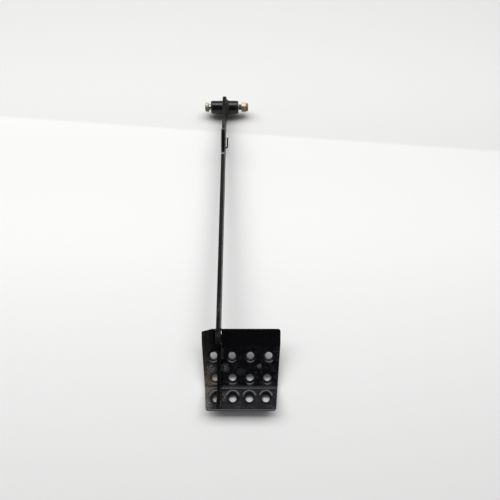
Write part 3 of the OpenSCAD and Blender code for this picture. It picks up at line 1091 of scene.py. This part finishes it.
@dataclass(frozen=True)
class WeldBead:
    """A weld bead over a CAD weld: the same fillet, remeshed and rippled like laid coins."""

    node: str
    ripple: float = 0.0017
    ripple_depth: float = 0.00028
    lump_depth: float = 0.0005
    voxel: float = 0.00035
    round_pivot: bool = False
    along: Point = (0.0, 0.37, -0.93)
    lump_size: float = 0.003
    lump_detail: float = 2.0
    wander: float = 1.4
    highest_lump: float = 0.75
    middle_radius: float = 0.38

    def build(self, material: bpy.types.Material) -> None:
        """Make the bead and let it stand for its node.

        Args:
            material: The weld's finish.
        """
        piece = add_piece(self.node + "_bead", welded_copy(self.node))
        remesh = piece.modifiers.new("even_mesh", "REMESH")
        remesh.mode = "VOXEL"
        remesh.voxel_size = self.voxel
        remesh.use_smooth_shade = True
        finished(piece)
        tree = GeometryTree(self.node + "_ripples")
        pitch = tree.size("Ripple pitch", self.ripple)
        depth = tree.size("Ripple depth", self.ripple_depth)
        lumps = tree.size("Lump depth", self.lump_depth)
        place = tree.kit.node("GeometryNodeInputPosition")
        way = self._way(tree.kit, place)
        sockets = {"Vector": place, "Scale": 1 / self.lump_size, "Detail": self.lump_detail}
        noise = tree.kit.node("ShaderNodeTexNoise", {}, sockets)
        wave = abs(((way / pitch + noise * self.wander) * math.pi).cosine())
        low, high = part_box(self.node)
        offset = (wave - 1.0) * depth + (noise - self.highest_lump) * lumps
        normal = tree.kit.node("GeometryNodeInputNormal")
        moved = place + normal.scaled(offset)
        inside = moved.at_least(tuple(low)).at_most(tuple(high))
        sockets = {"Geometry": tree.geometry(), "Position": inside}
        shaped = tree.kit.node("GeometryNodeSetPosition", {}, sockets)
        tree.run(piece, shaped, material)
        settle(piece, material, Body.PEDAL, (self.node,))

    def _way(self, kit: NodeKit, place: Wire) -> Wire:
        """Measure the way along the bead.

        Args:
            kit: Kit of the bead's tree.
            place: Position of a point on the bead.

        Returns:
            The distance along the bead, in metres.
        """
        if not self.round_pivot:
            return place.dot(self.along)
        _, y, z = kit.parts(place)
        low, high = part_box(self.node)
        middle = (high[2] - low[2]) * self.middle_radius
        return kit.node("ShaderNodeMath", {"operation": "ARCTAN2"}, {0: z, 1: y}) * middle


@dataclass(frozen=True)
class Spatter:
    """Beads of weld spatter that stuck to the pad round the welds."""

    centre: Point = (0.0, 0.0262, -0.4315)
    reach: float = 0.030
    density: float = 90000.0
    smallest: float = 0.00022
    largest: float = 0.00065
    flatness: float = 0.7
    facing: Point = (0.0, -0.93, -0.37)
    facing_least: float = 0.96
    thinning: float = 2.0
    small_bias: float = 3.0
    subdivisions: int = 2
    seed: int = 7

    def build(self, seat: str, material: bpy.types.Material) -> None:
        """Scatter the beads over the front of a node.

        Args:
            seat: The node that carries them.
            material: Their finish.
        """
        piece = add_piece("weld_spatter", welded_copy(seat))
        tree = GeometryTree("spatter")
        kit = tree.kit
        reach = tree.size("Reach", self.reach)
        density = tree.size("Density", self.density)
        seed = tree.size("Seed", self.seed)
        smallest = tree.size("Smallest radius", self.smallest)
        largest = tree.size("Largest radius", self.largest)
        place = kit.node("GeometryNodeInputPosition")
        facing = kit.node("GeometryNodeInputNormal").dot(self.facing)
        closeness = 1 - place.distance(self.centre) / reach
        chance = closeness.at_least(0.0) ** self.thinning * kit.compare(facing, self.facing_least)
        points = kit.node(
            "GeometryNodeDistributePointsOnFaces",
            {"distribute_method": "RANDOM"},
            {"Mesh": tree.geometry(), "Density": chance * density, "Seed": seed},
        )
        sockets = {"Radius": 1.0, "Subdivisions": self.subdivisions}
        bead = kit.node("GeometryNodeMeshIcoSphere", {}, sockets)
        random = kit.node("FunctionNodeRandomValue", {"data_type": "FLOAT"}, {"Seed": seed}, "Value")
        radius = smallest + random ** self.small_bias * (largest - smallest)
        height = radius * self.flatness
        size = kit.node("ShaderNodeCombineXYZ", {}, {"X": radius, "Y": radius, "Z": height})
        sockets = {"Points": points, "Instance": bead, "Rotation": points.other("Rotation"), "Scale": size}
        beads = kit.node("GeometryNodeInstanceOnPoints", {}, sockets)
        smooth = kit.node("GeometryNodeSetShadeSmooth", {}, {"Geometry": kit.realized(beads)})
        tree.run(piece, smooth, material)
        settle(piece, material, Body.PEDAL)


@dataclass(frozen=True)
class BoltThread:
    """The rolled thread on the bolt's end, swept by a rule over a grid."""

    start: float = 0.0155
    pitch: float = 0.001058
    crest: float = 0.00472
    depth: float = 0.00058
    tip_taper: float = 0.0009
    flank: float = 1.35
    around: int = 72
    rings_per_pitch: int = 10

    def build(self, piece: bpy.types.Object, end: float, material: bpy.types.Material) -> bpy.types.Object:
        """Sweep the thread into a piece.

        Args:
            piece: An empty piece to hold the mesh.
            end: The bolt's far end on X.
            material: The bolt's finish.

        Returns:
            The piece with the thread's closed mesh.
        """
        rings = int((end - self.start) / self.pitch * self.rings_per_pitch)
        tree = GeometryTree("bolt_thread")
        kit = tree.kit
        pitch = tree.size("Pitch", self.pitch)
        crest = tree.size("Crest radius", self.crest)
        depth = tree.size("Depth", self.depth)
        start = tree.size("Start", self.start)
        stop = tree.size("End", end)
        taper = tree.size("Tip taper", self.tip_taper)
        grid = kit.node(
            "GeometryNodeMeshGrid",
            {},
            {"Size X": 1.0, "Size Y": 1.0, "Vertices X": rings, "Vertices Y": self.around + 1},
        )
        u, v, _ = kit.parts(kit.node("GeometryNodeInputPosition"))
        step = 1 / (rings - 1)
        share = ((u + 0.5 - step) / (1 - 2 * step)).at_least(0.0).at_most(1.0)
        x = start + share * (stop - start)
        turn = v + 0.5
        phase = (x / pitch - turn).fraction()
        ridge = abs(phase * 2 - 1)
        run_out = ((stop - x) / taper).at_most(1.0)
        ridge_radius = crest - depth * (1 - (ridge * self.flank).at_most(1.0))
        radius = ridge_radius - (1 - run_out) * depth
        inner = kit.compare(abs(u), 0.5 - step / 2)
        radius = radius * (1 - inner)
        angle = turn * math.tau
        sine = kit.node("ShaderNodeMath", {"operation": "SINE"}, {0: angle})
        sockets = {"X": x, "Y": radius * angle.cosine(), "Z": radius * sine}
        place = kit.node("ShaderNodeCombineXYZ", {}, sockets)
        swept = kit.node("GeometryNodeSetPosition", {}, {"Geometry": grid, "Position": place})
        closed = kit.node("GeometryNodeMergeByDistance", {}, {"Geometry": swept, "Distance": MERGE_REACH})
        smooth = kit.node("GeometryNodeSetShadeSmooth", {}, {"Geometry": closed})
        return tree.run(piece, smooth, material)


def face_outwards(mesh: bpy.types.Mesh) -> None:
    """Turn a closed mesh's faces outwards and drop faces without area.

    Args:
        mesh: The mesh.
    """
    shape = bmesh.new()
    shape.from_mesh(mesh)
    bmesh.ops.dissolve_degenerate(shape, dist=MERGE_REACH / 2, edges=shape.edges)
    bmesh.ops.recalc_face_normals(shape, faces=shape.faces)
    shape.to_mesh(mesh)
    shape.free()


@dataclass
class Arm:
    """The plate arm, its pivot tube and the spring hook."""

    edge_break: float = 0.0004
    paint: BrushedPaint = BrushedPaint(
        "arm_paint",
        (0.0034, 0.0038, 0.0037),
        roughness=0.42,
        specular=0.075,
        wear=0.8,
        side_fade=(0.0023, 0.0026),
        painted_light_bands=(
            # painted shade: the lug's front face, which turns down, is painted near black
            PaintedLightBand(-0.1005, -0.0665, 0.002, Coat((0.0015, 0.0015, 0.0016), 0.9, 0.8)),
            # painted highlight: a light line at the top of the lug
            PaintedLightBand(-0.0595, -0.0568, 0.0007, Coat((0.24, 0.235, 0.22), 0.8, 0.5)),
            # painted highlight: a glint line at the foot of the lug
            PaintedLightBand(-0.1045, -0.1018, 0.0007, Coat((0.26, 0.26, 0.255), 0.85, 0.5)),
        ),
        marks=(
            Mark(
                (0.0, -0.013, -0.396),
                reach=(0.003, 0.010),
                coat=Coat((0.13, 0.125, 0.12), 0.5, 0.6),
                grain=0.0013,
                cover=0.4,
            ),
            Mark(
                (-0.0028, 0.018, -0.446),
                reach=(0.004, 0.02),
                coat=Coat((0.06, 0.04, 0.03), 0.35, 0.6),
                grain=0.0016,
                cover=0.3,
            ),
            # painted light: the lug's top, which faces up, is painted lighter
            Mark(
                (-0.001, -0.0165, -0.0615),
                reach=(0.003, 0.0065),
                coat=Coat((0.125, 0.115, 0.10), 0.75, 0.6),
                grain=0.0016,
                cover=0.8,
            ),
            # painted light: the front edge below the tube is painted lighter where it faces the light
            Mark(
                (-0.001, -0.0145, -0.045),
                reach=(0.004, 0.018),
                coat=Coat((0.075, 0.075, 0.073), 0.7, 0.6),
                grain=0.003,
                cover=0.8,
            ),
            Mark(
                (0.0, -0.0145, -0.355),
                reach=(0.006, 0.02),
                coat=Coat((0.085, 0.083, 0.08), 0.6, 0.6),
                grain=0.0022,
                cover=0.6,
            ),
        ),
    )
    tube_paint: BrushedPaint = BrushedPaint(
        "tube_paint", (0.0042, 0.0042, 0.0045), roughness=0.24, specular=0.42, wear=0.35
    )

    def build(self) -> None:
        """Make the arm and dress the tube and the hook."""
        paint = self.paint.material()
        arm = rounded_piece("arm", welded_copy("arm_plate"), self.edge_break)
        settle(arm, paint, Body.PEDAL, ("arm_plate",))
        dress("spring_hook", paint)
        dress("pivot_tube", self.tube_paint.material())


@dataclass
class Pad:
    """The folded foot pad."""

    edge_break: float = 0.00045
    paint: DippedPaint = DippedPaint(
        marks=(
            Mark(
                (0.031, 0.030, -0.4375),
                reach=(0.002, 0.007),
                coat=Coat((0.022, 0.030, 0.029), 0.8, 0.3),
                grain=0.002,
                cover=0.8,
            ),
            Mark(
                (-0.0105, 0.0275, -0.4345),
                reach=(0.003, 0.011),
                coat=Coat((0.24, 0.235, 0.23), 0.8, 0.5),
                grain=0.0016,
                cover=0.55,
            ),
            Mark(
                (0.0085, 0.0265, -0.4325),
                reach=(0.002, 0.008),
                coat=Coat((0.21, 0.19, 0.195), 0.8, 0.5),
                grain=0.0014,
                cover=0.55,
            ),
            Mark(
                (-0.0185, 0.034, -0.452),
                reach=(0.004, 0.018),
                coat=Coat((0.19, 0.145, 0.105), 0.75, 0.7),
                grain=0.0018,
                cover=0.65,
            ),
            Mark(
                (-0.008, 0.033, -0.449),
                reach=(0.002, 0.010),
                coat=Coat((0.20, 0.19, 0.175), 0.5, 0.6),
                grain=0.0014,
                cover=0.4,
            ),
            Mark(
                (0.0065, 0.031, -0.471),
                reach=(0.002, 0.009),
                coat=Coat((0.055, 0.045, 0.04), 0.7, 0.6),
                grain=0.0018,
                cover=0.6,
            ),
            Mark(
                (-0.018, 0.028, -0.480),
                reach=(0.003, 0.012),
                coat=Coat((0.19, 0.185, 0.17), 0.7, 0.6),
                grain=0.0016,
                cover=0.55,
            ),
        )
    )

    def build(self) -> None:
        """Make the pad with its broken edges."""
        pad = rounded_piece("pad", welded_copy("foot_pad"), self.edge_break)
        settle(pad, self.paint.material(), Body.PEDAL, ("foot_pad",))


@dataclass
class Welds:
    """Every weld bead and the spatter beside them."""

    paint: WeldPaint = WeldPaint()
    beads: tuple[WeldBead, ...] = (
        WeldBead("tube_weld", round_pivot=True),
        WeldBead("pad_weld_top"),
        WeldBead("pad_weld_left"),
        WeldBead("pad_weld_right"),
        WeldBead("pad_weld_bottom", voxel=0.0003, along=(0.0, -0.45, -0.89)),
        WeldBead(
            "slot_tack",
            ripple=0.0012,
            ripple_depth=0.0001,
            lump_depth=0.0002,
            voxel=0.00015,
            along=(0.0, 0.7, -0.7),
        ),
        WeldBead(
            "slot_weld",
            ripple=0.0014,
            ripple_depth=0.00012,
            lump_depth=0.0003,
            voxel=0.00015,
            along=(0.0, 0.7, -0.7),
        ),
    )
    spatter: Spatter = Spatter()
    slot_end_low: Point = (0.00278, 0.0118, -0.4068)
    slot_end_high: Point = (0.0042, 0.0186, -0.3995)
    slot_end_fullness: float = 0.6
    slot_end_subdivisions: int = 4

    def build(self) -> None:
        """Lay the beads, close the slot's end and scatter the spatter."""
        paint = self.paint.material()
        for bead in self.beads:
            bead.build(paint)
        self.close_slot(paint)
        self.spatter.build("foot_pad", paint)

    def close_slot(self, paint: bpy.types.Material) -> None:
        """Fill the end of the pad's slot, round the upper fold, with the weld's last drop.

        Args:
            paint: The weld's finish.
        """
        low, high = Vector(self.slot_end_low), Vector(self.slot_end_high)
        shape = bmesh.new()
        bmesh.ops.create_icosphere(shape, subdivisions=self.slot_end_subdivisions, radius=0.5)
        for vertex in shape.verts:
            share = Vector([math.copysign(abs(c * 2) ** self.slot_end_fullness, c) for c in vertex.co])
            vertex.co = (low + high) / 2 + Vector([s * (h - w) / 2 for s, w, h in zip(share, low, high)])
        for face in shape.faces:
            face.smooth = True
        mesh = bpy.data.meshes.new("slot_end_weld")
        shape.to_mesh(mesh)
        shape.free()
        settle(add_piece("slot_end_weld", mesh), paint, Body.PEDAL)


@dataclass
class Pivot:
    """The bolt, nut, sleeve and bushings on which the pedal turns."""

    edge_break: float = 0.00025
    hex_turn: float = math.radians(30)
    thread: BoltThread = BoltThread()
    bolt_plate: ZincPlate = ZincPlate(
        "bolt_plate",
        (0.56, 0.57, 0.47),
        tint=(0.49, 0.50, 0.39),
        grime_coat=Coat((0.05, 0.047, 0.034), 1.0, 0.6, -0.4),
        roughness=0.24,
        grime_fade=(0.010, 0.026),
    )
    nut_plate: ZincPlate = ZincPlate(
        "nut_plate",
        (0.78, 0.64, 0.46),
        tint=(0.71, 0.54, 0.36),
        grime_coat=Coat((0.06, 0.045, 0.03), 1.0, 0.6, -0.4),
        roughness=0.27,
        grime_fade=(0.0345, 0.0375),
    )
    steel: TurnedSteel = TurnedSteel()
    bushing: Nylon = Nylon("bushing_nylon", (0.012, 0.012, 0.012))
    ring: Nylon = Nylon("ring_nylon", (0.03, 0.03, 0.03))

    def build(self) -> None:
        """Make the bolt and the nut and dress the rest."""
        self.make_bolt(self.bolt_plate.material())
        hexagon = welded_copy("lock_nut")
        hexagon.transform(Matrix.Rotation(self.hex_turn, 4, "X"))
        nut = rounded_piece("nut", hexagon, self.edge_break)
        settle(nut, self.nut_plate.material(), Body.PIVOT, ("lock_nut",))
        dress("pivot_sleeve", self.steel.material())
        bushing = self.bushing.material()
        dress("bushing_left", bushing)
        dress("bushing_right", bushing)
        dress("lock_ring", self.ring.material())

    def make_bolt(self, plate: bpy.types.Material) -> None:
        """Join the bolt's head and plain shank to its swept thread.

        Args:
            plate: The bolt's finish.
        """
        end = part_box("pivot_bolt")[1][0]
        blank = welded_copy("pivot_bolt")
        blank.transform(Matrix.Rotation(self.hex_turn, 4, "X"))
        plain_end = self.thread.start + self.thread.pitch
        for vertex in blank.vertices:
            vertex.co.x = min(vertex.co.x, plain_end)
        face_outwards(blank)
        head = rounded_piece("bolt_blank", blank, self.edge_break)
        thread = self.thread.build(add_piece("thread", bpy.data.meshes.new("thread")), end, plate)
        face_outwards(thread.data)
        shape = bmesh.new()
        shape.from_mesh(head.data)
        shape.from_mesh(thread.data)
        mesh = bpy.data.meshes.new("bolt")
        shape.to_mesh(mesh)
        shape.free()
        for part in (head, thread):
            bpy.data.objects.remove(part)
        settle(add_piece("bolt", mesh), plate, Body.PIVOT, ("pivot_bolt",))


@dataclass(frozen=True)
class Softbox:
    """A rectangular lamp that faces the pedal from the viewer's side."""

    name: str
    aside: float
    elevation: float
    distance: float
    width: float
    height: float
    radiance: float

    def hang(self, target: Vector) -> None:
        """Add the lamp.

        Args:
            target: The point it faces.
        """
        lamp = bpy.data.lights.new(self.name, "AREA")
        lamp.shape = "RECTANGLE"
        lamp.size = self.width
        lamp.size_y = self.height
        lamp.energy = self.radiance * math.pi * self.width * self.height
        holder = bpy.data.objects.new(self.name, lamp)
        angle = math.radians(self.elevation)
        direction = Vector((0.0, -math.cos(angle), math.sin(angle)))
        holder.location = target + direction * self.distance + Vector((self.aside, 0.0, 0.0))
        holder.rotation_euler = (-direction).to_track_quat("-Z", "Y").to_euler()
        holder.visible_camera = False
        bpy.context.scene.collection.objects.link(holder)


@dataclass(frozen=True)
class Room:
    """Light of the room round the pedal: pale behind it, dim overhead, dark where the viewer stands."""

    side_level: float = 0.3
    overhead_level: float = 0.4
    viewer_level: float = 0.05
    backdrop: Colour = (0.9, 0.9, 0.9)
    behind_fade: Levels = (-0.1, 0.1)
    overhead_fade: Levels = (0.88, 0.95)
    viewer_fade: Levels = (0.1, -0.1)
    viewer_fade_down: Levels = (-0.06, -0.26)

    def world(self) -> bpy.types.World:
        """Build the world.

        Returns:
            The world.
        """
        world = bpy.data.worlds.new("studio")
        world.use_nodes = True
        world.node_tree.nodes.clear()
        kit = NodeKit(world.node_tree)
        _, y, z = kit.parts(kit.node("ShaderNodeTexCoord", output="Generated"))
        behind = y.step(*self.behind_fade)
        overhead = z.step(*self.overhead_fade)
        viewer = y.step(*self.viewer_fade) * z.step(*self.viewer_fade_down)
        level = self.side_level + overhead * (self.overhead_level - self.side_level)
        level = level + viewer * (self.viewer_level - level)
        light = kit.node("ShaderNodeBackground", {}, {"Color": (1, 1, 1), "Strength": level})
        pale = kit.node("ShaderNodeBackground", {}, {"Color": self.backdrop, "Strength": 1.0})
        camera = kit.node("ShaderNodeLightPath", output="Is Camera Ray")
        glossy = kit.node("ShaderNodeLightPath", output="Is Glossy Ray")
        transmitted = kit.node("ShaderNodeLightPath", output="Is Transmission Ray")
        seen = camera.at_least(glossy.at_least(transmitted) * behind)
        blend = kit.node("ShaderNodeMixShader", {}, {0: seen, 1: light, 2: pale})
        kit.close(blend, "ShaderNodeOutputWorld")
        return world


@dataclass(frozen=True)
class PaleSheet:
    """The one-sided pale sheet that the pedal lies against. Its colour is painted shade above a soft seam
    across its top and towards the top, and painted light towards the foot.
    """

    back: float = 0.0176
    slope: float = 0.0556
    half: float = 1.4
    seam_height: float = -0.037
    seam_rise: float = 0.08
    seam_blur: float = 0.004
    # painted shade above the seam and towards the top, painted light towards the foot
    top: Colour = (0.70, 0.70, 0.695)
    above: Colour = (0.785, 0.785, 0.775)
    below: Colour = (0.865, 0.865, 0.86)
    foot: Colour = (0.955, 0.955, 0.95)
    top_height: float = 0.3
    foot_height: float = -0.27

    def build(self) -> None:
        """Stretch the sheet behind the pedal."""
        mesh = bpy.data.meshes.new("pale_sheet")
        shape = bmesh.new()
        corners = []
        for x, z in ((-1, 1), (-1, -1), (1, -1), (1, 1)):
            height = z * self.half
            corners.append(shape.verts.new((x * self.half, self.back - self.slope * height, height)))
        shape.faces.new(corners)
        shape.to_mesh(mesh)
        shape.free()
        sheet = bpy.data.objects.new("pale_sheet", mesh)
        bpy.context.scene.collection.objects.link(sheet)
        mesh.materials.append(self.material())

    def material(self) -> bpy.types.Material:
        """Build the white paper, which is clear when seen from behind.

        Returns:
            The material.
        """
        material, kit = new_material("paper")
        x, _, z = kit.parts(kit.position())
        # painted shade above the seam and towards the top, painted light towards the foot
        seam = z + x * self.seam_rise
        above = seam.step(self.seam_height - self.seam_blur, self.seam_height + self.seam_blur)
        upper = kit.mix(z.step(0.0, self.top_height), self.above, self.top)
        lower = kit.mix(z.step(self.seam_height, self.foot_height), self.below, self.foot)
        colour = kit.mix(above, lower, upper)
        paper = kit.node("ShaderNodeBsdfDiffuse", {}, {"Color": colour})
        clear = kit.node("ShaderNodeBsdfTransparent")
        behind = kit.node("ShaderNodeNewGeometry", output="Backfacing")
        blend = kit.node("ShaderNodeMixShader", {}, {0: behind, 1: paper, 2: clear})
        kit.close(blend)
        return material


@dataclass
class Studio:
    """Camera, lamps, room light and the pale sheet behind the pedal."""

    camera_place: Point = (0.04375, -0.5438, -0.4619)
    camera_tilt: float = 110.0
    lens: float = 27.72
    sensor: float = 36.0
    clip_start: float = 0.01
    target: Point = (0.0, 0.0, -0.2)
    lamps: tuple[Softbox, ...] = (
        Softbox(
            "front_softbox",
            aside=-0.22,
            elevation=25.0,
            distance=1.5,
            width=3.4,
            height=0.82,
            radiance=4.3,
        ),
    )
    room: Room = Room()
    sheet: PaleSheet = PaleSheet()

    def build(self) -> None:
        """Set up the whole studio."""
        self.aim_camera()
        for lamp in self.lamps:
            lamp.hang(Vector(self.target))
        bpy.context.scene.world = self.room.world()
        self.sheet.build()
        bpy.context.scene.view_settings.view_transform = "Standard"

    def aim_camera(self) -> None:
        """Put the camera at the photograph's viewpoint."""
        lens = bpy.data.cameras.new("camera")
        lens.lens = self.lens
        lens.sensor_width = self.sensor
        lens.clip_start = self.clip_start
        camera = bpy.data.objects.new("camera", lens)
        camera.location = self.camera_place
        camera.rotation_euler = (math.radians(self.camera_tilt), 0.0, 0.0)
        bpy.context.scene.collection.objects.link(camera)
        bpy.context.scene.camera = camera


def main() -> None:
    """Build the studio and dress the pedal."""
    logging.basicConfig(level=logging.INFO, format="%(name)s: %(message)s")
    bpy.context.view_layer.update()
    for assembly in (Studio(), Arm(), Pad(), Welds(), Pivot()):
        assembly.build()
        LOG.info("built %s", type(assembly).__name__)


if __name__ == "__main__":
    main()
